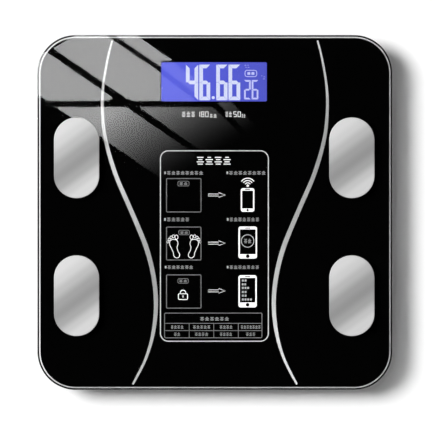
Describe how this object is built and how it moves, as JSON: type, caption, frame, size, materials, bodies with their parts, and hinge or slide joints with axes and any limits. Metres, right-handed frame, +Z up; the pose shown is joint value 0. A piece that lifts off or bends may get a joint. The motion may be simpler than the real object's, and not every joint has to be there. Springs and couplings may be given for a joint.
{
  "type": "digital bathroom scale",
  "caption": "Square glass bathroom scale with rounded corners, metal contact electrodes, a backlit number display and sprung load-cell feet.",
  "frame": {"origin": "on the floor, under the middle of the platform", "axes": "+Z up; +Y from the heels to the toes, towards the display; +X to the right of a person who stands on it"},
  "size_m": [0.26, 0.26, 0.0248],
  "materials": {
    "black_glass": "black back-printed toughened glass, polished",
    "satin_steel": "satin",
    "plated_brass": "nickel-plated",
    "spring_steel": "stamped",
    "white_plastic": "fine",
    "black_plastic": "fine grain",
    "grey_rubber": "matt",
    "lead_white": "smooth",
    "lead_black": "smooth",
    "lead_red": "smooth",
    "foam_tape": "foam",
    "label_paper": "paper",
    "display_blue": "lit from behind",
    "backlight_white": "frosted",
    "connector_rubber": "striped",
    "board_green": "solder mask",
    "chip_black": "moulded",
    "battery_wrap": "plain sleeve"
  },
  "bodies": {
    "scale": {"backlight_guide": "backlight_white", "base_tray": "black_plastic", "battery_1": "battery_wrap", "battery_2": "battery_wrap", "battery_contact_bridge": "spring_steel", "battery_contact_negative": "spring_steel", "battery_contact_positive": "spring_steel", "battery_lead_negative": "lead_black", "battery_lead_positive": "lead_red", "battery_spring_1": "spring_steel", "battery_spring_2": "spring_steel", "board_screw_1": "spring_steel", "board_screw_2": "spring_steel", "board_screw_3": "spring_steel", "board_screw_4": "spring_steel", "bonding_tape": "foam_tape", "circuit_board": "board_green", "connector_strip": "connector_rubber", "controller_chip": "chip_black", "display_holder": "white_plastic", "display_panel": "display_blue", "electrode_lead_heel_left": "lead_black", "electrode_lead_heel_right": "lead_black", "electrode_lead_toe_left": "lead_black", "electrode_lead_toe_right": "lead_black", "electrode_plate_heel_left": "satin_steel", "electrode_plate_heel_right": "satin_steel", "electrode_plate_toe_left": "satin_steel", "electrode_plate_toe_right": "satin_steel", "electrode_stud_heel_left": "plated_brass", "electrode_stud_heel_right": "plated_brass", "electrode_stud_toe_left": "plated_brass", "electrode_stud_toe_right": "plated_brass", "glass_platform": "black_glass", "load_cell_carrier_heel_left": "white_plastic", "load_cell_carrier_heel_right": "white_plastic", "load_cell_carrier_toe_left": "white_plastic", "load_cell_carrier_toe_right": "white_plastic", "load_cell_heel_left": "spring_steel", "load_cell_heel_right": "spring_steel", "load_cell_lead_heel_left": "lead_white", "load_cell_lead_heel_right": "lead_white", "load_cell_lead_toe_left": "lead_white", "load_cell_lead_toe_right": "lead_white", "load_cell_toe_left": "spring_steel", "load_cell_toe_right": "spring_steel", "radio_module": "spring_steel", "rating_label": "label_paper", "switch_body": "spring_steel"},
    "foot_toe_left": {"foot_toe_left": "black_plastic", "foot_pad_toe_left": "grey_rubber"},
    "foot_toe_right": {"foot_toe_right": "black_plastic", "foot_pad_toe_right": "grey_rubber"},
    "foot_heel_left": {"foot_heel_left": "black_plastic", "foot_pad_heel_left": "grey_rubber"},
    "foot_heel_right": {"foot_heel_right": "black_plastic", "foot_pad_heel_right": "grey_rubber"},
    "unit_button": {"unit_button": "white_plastic", "switch_plunger": "chip_black"},
    "battery_door": {"battery_door": "black_plastic"}
  },
  "joints": [
    {"name": "foot_toe_left_travel", "type": "slide", "parent": "scale", "child": "foot_toe_left", "axis": [0, 0, 1], "range_m": [0, 0.00025], "stiffness_N_per_m": 3000, "springref_m": -0.0015},
    {"name": "foot_toe_right_travel", "type": "slide", "parent": "scale", "child": "foot_toe_right", "axis": [0, 0, 1], "range_m": [0, 0.00025], "stiffness_N_per_m": 3000, "springref_m": -0.0015},
    {"name": "foot_heel_left_travel", "type": "slide", "parent": "scale", "child": "foot_heel_left", "axis": [0, 0, 1], "range_m": [0, 0.00025], "stiffness_N_per_m": 3000, "springref_m": -0.0015},
    {"name": "foot_heel_right_travel", "type": "slide", "parent": "scale", "child": "foot_heel_right", "axis": [0, 0, 1], "range_m": [0, 0.00025], "stiffness_N_per_m": 3000, "springref_m": -0.0015},
    {"name": "unit_button_press", "type": "slide", "parent": "scale", "child": "unit_button", "axis": [0, 0, 1], "range_m": [0, 0.0005], "stiffness_N_per_m": 200, "springref_m": -0.004},
    {"name": "battery_door_hinge", "type": "hinge", "parent": "scale", "child": "battery_door", "pos_m": [0, -0.01395, 0.004], "axis": [1, 0, 0], "range_deg": [-50, 0]}
  ]
}
